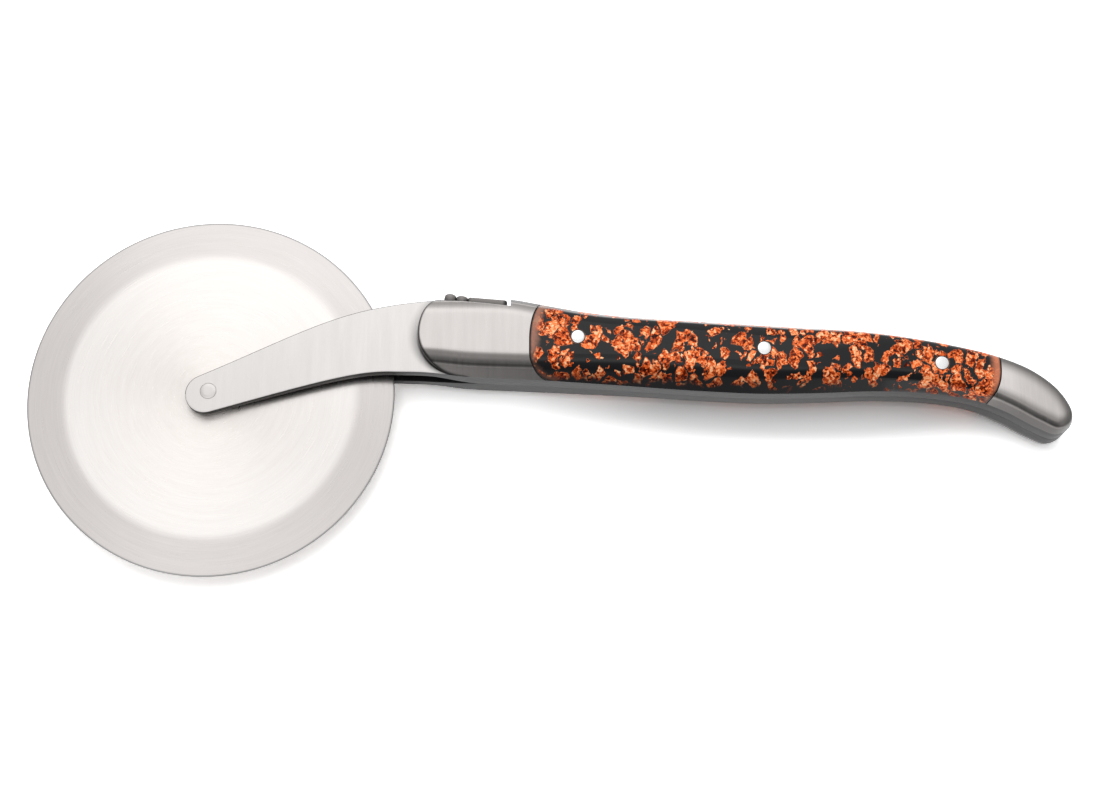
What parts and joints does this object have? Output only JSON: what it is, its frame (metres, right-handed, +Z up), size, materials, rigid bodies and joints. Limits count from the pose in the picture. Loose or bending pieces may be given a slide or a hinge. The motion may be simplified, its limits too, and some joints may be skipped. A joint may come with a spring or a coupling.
{
  "type": "pizza wheel",
  "caption": "Hand-held pizza wheel: a bevelled steel disc turns in a two-arm fork on a curved handle with steel bolsters, dark resin scales with copper flakes, and pins.",
  "frame": {"origin": "under the middle of the whole object's box, on the plane that the handle lies on", "axes": "+X from the wheel to the tail, +Y towards the back of the handle, +Z up, along the wheel's axle"},
  "size_m": [0.2092, 0.074, 0.0148],
  "materials": {
    "wheel_steel": "turned satin",
    "fork_steel": "brushed satin",
    "bolster_steel": "brushed satin",
    "scale_resin": "polished, copper flakes",
    "pin_steel": "polished",
    "washer_steel": "plain"
  },
  "bodies": {
    "handle": {"axle_bush": "washer_steel", "axle_rivet": "fork_steel", "washer_upper": "washer_steel", "washer_lower": "washer_steel", "fork_half_upper": "fork_steel", "fork_half_lower": "fork_steel", "front_bolster_upper": "bolster_steel", "front_bolster_lower": "bolster_steel", "rear_bolster_upper": "bolster_steel", "rear_bolster_lower": "bolster_steel", "scale_upper": "scale_resin", "scale_lower": "scale_resin", "handle_pin_front": "pin_steel", "handle_pin_middle": "pin_steel", "handle_pin_rear": "pin_steel", "front_dowel_back": "fork_steel", "front_dowel_belly": "fork_steel", "rear_dowel": "fork_steel", "fly_plate": "bolster_steel"},
    "wheel": {"cutting_wheel": "wheel_steel"}
  },
  "joints": [
    {"name": "wheel_spin", "type": "hinge", "parent": "handle", "child": "wheel", "pos_m": [-0.06764, 0, 0.00742], "axis": [0, 0, 1], "continuous": true}
  ]
}
